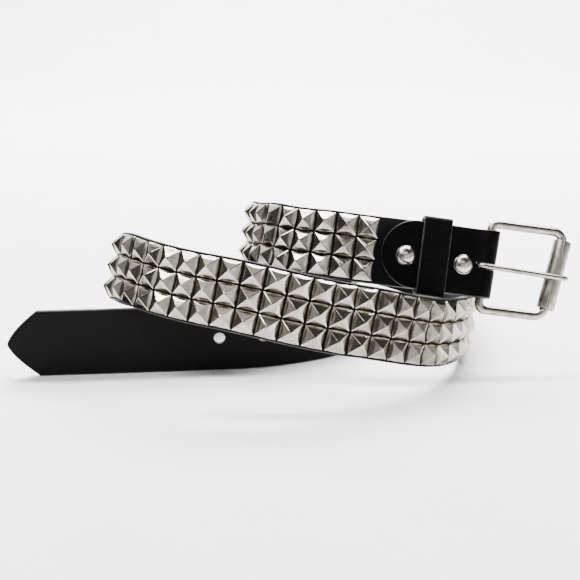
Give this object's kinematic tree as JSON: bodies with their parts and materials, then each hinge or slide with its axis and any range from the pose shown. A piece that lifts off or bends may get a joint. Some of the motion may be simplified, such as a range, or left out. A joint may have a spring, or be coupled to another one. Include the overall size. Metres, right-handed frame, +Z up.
{
  "type": "studded belt",
  "caption": "Black leather belt with rows of pyramid studs and a roller buckle, loosely coiled and standing on its lower edge.",
  "frame": {"origin": "on the ground, under the middle of the coiled belt's box", "axes": "+X to the buckle end, the viewer of the picture looks along +Y, +Z up"},
  "size_m": [0.3158, 0.2392, 0.0904],
  "materials": {
    "leather": "black coated leather, fine grain, satin, with lighter cut edges",
    "stud_metal": "pressed steel studs, nickel plated, bright",
    "snap_metal": "nickel-plated caps, polished",
    "buckle_metal": "nickel-plated steel wire and tube, bright with a soft brushed wear"
  },
  "bodies": {
    "root": {"strap": "leather", "studs": "stud_metal", "keeper": "leather", "snap_1": "snap_metal", "snap_2": "snap_metal"},
    "frame": {"buckle_frame": "buckle_metal"},
    "roller": {"roller": "buckle_metal"},
    "prong": {"prong": "buckle_metal"}
  },
  "joints": [
    {"name": "frame_swing", "type": "hinge", "parent": "root", "child": "frame", "pos_m": [0.10861, -0.05615, 0.06131], "axis": [-0.1773, -0.3413, -0.9231], "range_deg": [-30, 20]},
    {"name": "prong_swing", "type": "hinge", "parent": "frame", "child": "prong", "pos_m": [0.10861, -0.05615, 0.06131], "axis": [-0.1773, -0.3413, -0.9231], "range_deg": [0, 70]},
    {"name": "roller_spin", "type": "hinge", "parent": "frame", "child": "roller", "pos_m": [0.14783, -0.05407, 0.05456], "axis": [0.2703, 0.3436, 0.8994], "continuous": true}
  ]
}
